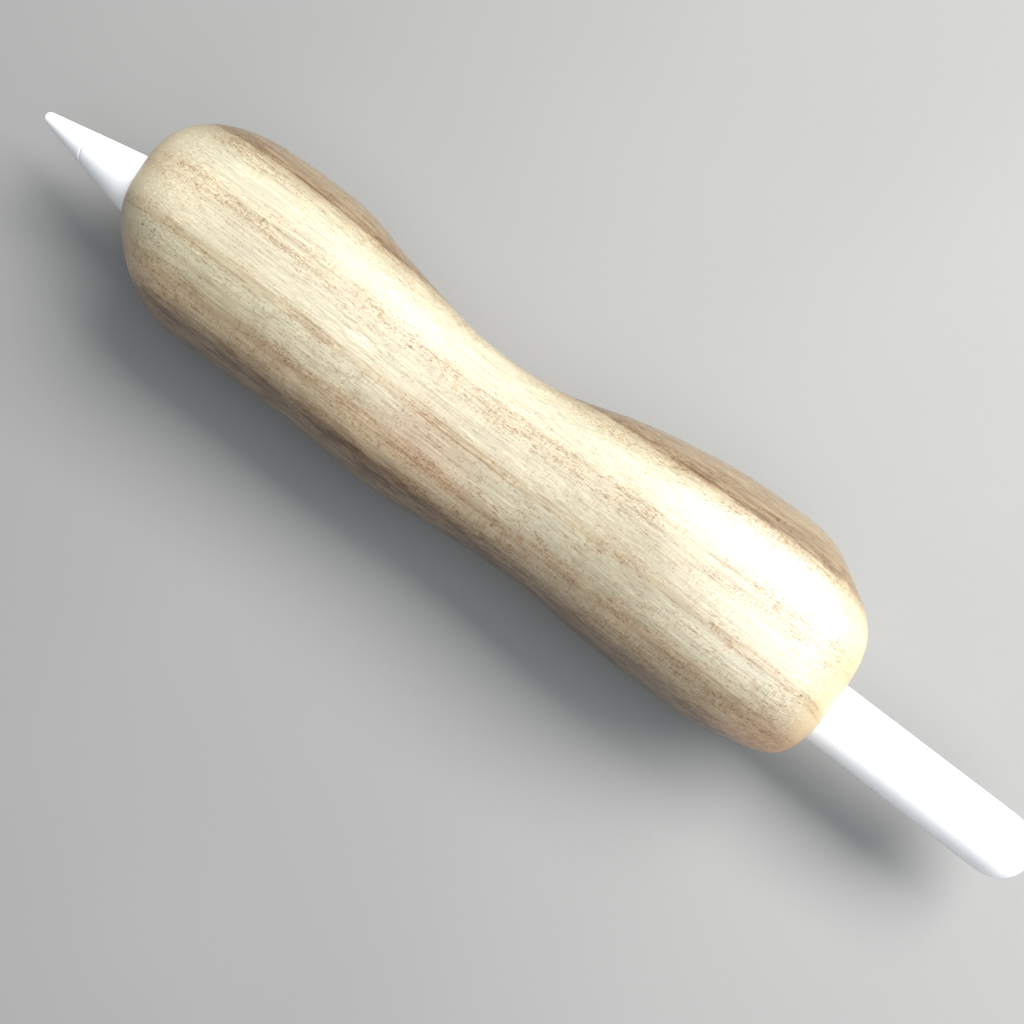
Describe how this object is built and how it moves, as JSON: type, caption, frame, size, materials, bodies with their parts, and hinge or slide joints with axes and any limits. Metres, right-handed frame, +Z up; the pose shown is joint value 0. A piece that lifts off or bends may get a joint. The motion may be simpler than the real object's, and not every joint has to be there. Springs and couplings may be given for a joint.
{
  "type": "carved stylus grip with stylus",
  "caption": "White tablet stylus with a screw-on conical nib, pushed through a hand-carved wooden grip with a hollowed waist that thickens the stylus for the hand.",
  "frame": {"origin": "under the middle of the whole assembly, on the surface that the grip's two flats rest on", "axes": "+X along the stylus towards the nib, +Z up, the grip's deep hollow is on the -Y side"},
  "size_m": [0.166, 0.0318, 0.027],
  "materials": {
    "carved_wood": "hand-carved, sanded and oiled, satin",
    "white_plastic": "moulded, soft gloss",
    "nib_plastic": "moulded, matte",
    "brass": "turned",
    "steel": "turned and ground",
    "grey_polymer": "glass-filled, moulded",
    "copper": "bare copper",
    "nickel": "nickel plated",
    "polyimide": "flexible circuit film",
    "circuit_board": "solder mask",
    "black_epoxy": "moulded package",
    "cell_wrap": "wrapped cell can",
    "foam": "closed-cell foam"
  },
  "bodies": {
    "wooden_grip": {"grip": "carved_wood"},
    "battery": {"battery_cell": "cell_wrap"},
    "stylus": {"barrel": "white_plastic", "nose_cone": "white_plastic", "tip_guide_bush": "grey_polymer", "tilt_ring": "copper", "sensor_frame": "grey_polymer", "preload_spring": "steel", "pressure_sensor": "nickel", "sensor_flex": "polyimide", "chassis": "grey_polymer", "main_board": "circuit_board", "processor_chip": "black_epoxy", "radio_chip": "black_epoxy", "power_chip": "black_epoxy", "shield_can": "nickel", "touch_flex": "polyimide", "antenna_flex": "polyimide", "power_flex": "polyimide", "magnet_front_1": "nickel", "magnet_front_2": "nickel", "magnet_front_3": "nickel", "magnet_rear_1": "nickel", "magnet_rear_2": "nickel", "magnet_rear_3": "nickel", "magnet_shunt_front": "steel", "magnet_shunt_rear": "steel", "charge_coil": "copper", "ferrite_sheet": "black_epoxy", "battery_board": "circuit_board", "tail_bumper": "foam"},
    "nib_post": {"tip_post": "steel"},
    "nib_pin": {"nib_core": "steel"},
    "nib": {"nib_shell": "nib_plastic", "nib_insert": "brass"}
  },
  "joints": [
    {"name": "stylus_slide", "type": "slide", "parent": "wooden_grip", "child": "battery", "axis": [1, 0, 0], "range_m": [-0.137, 0.15]},
    {"name": "stylus_twist", "type": "hinge", "parent": "battery", "child": "stylus", "pos_m": [0, 0.00245, 0.013], "axis": [1, 0, 0], "continuous": true},
    {"name": "nib_press", "type": "slide", "parent": "stylus", "child": "nib_post", "axis": [-1, 0, 0], "range_m": [0, 0.00015], "stiffness_N_per_m": 8000, "springref_m": -0.00005},
    {"name": "nib_travel", "type": "slide", "parent": "nib_post", "child": "nib_pin", "axis": [1, 0, 0], "range_m": [0, 0.0035]},
    {"name": "nib_turn", "type": "hinge", "parent": "nib_pin", "child": "nib", "pos_m": [0.078, 0.00245, 0.013], "axis": [1, 0, 0], "range_deg": [0, 2520]}
  ],
  "couplings": [
    {"joint": "nib_turn", "follows": "nib_travel", "rad_per_m": 12566}
  ]
}
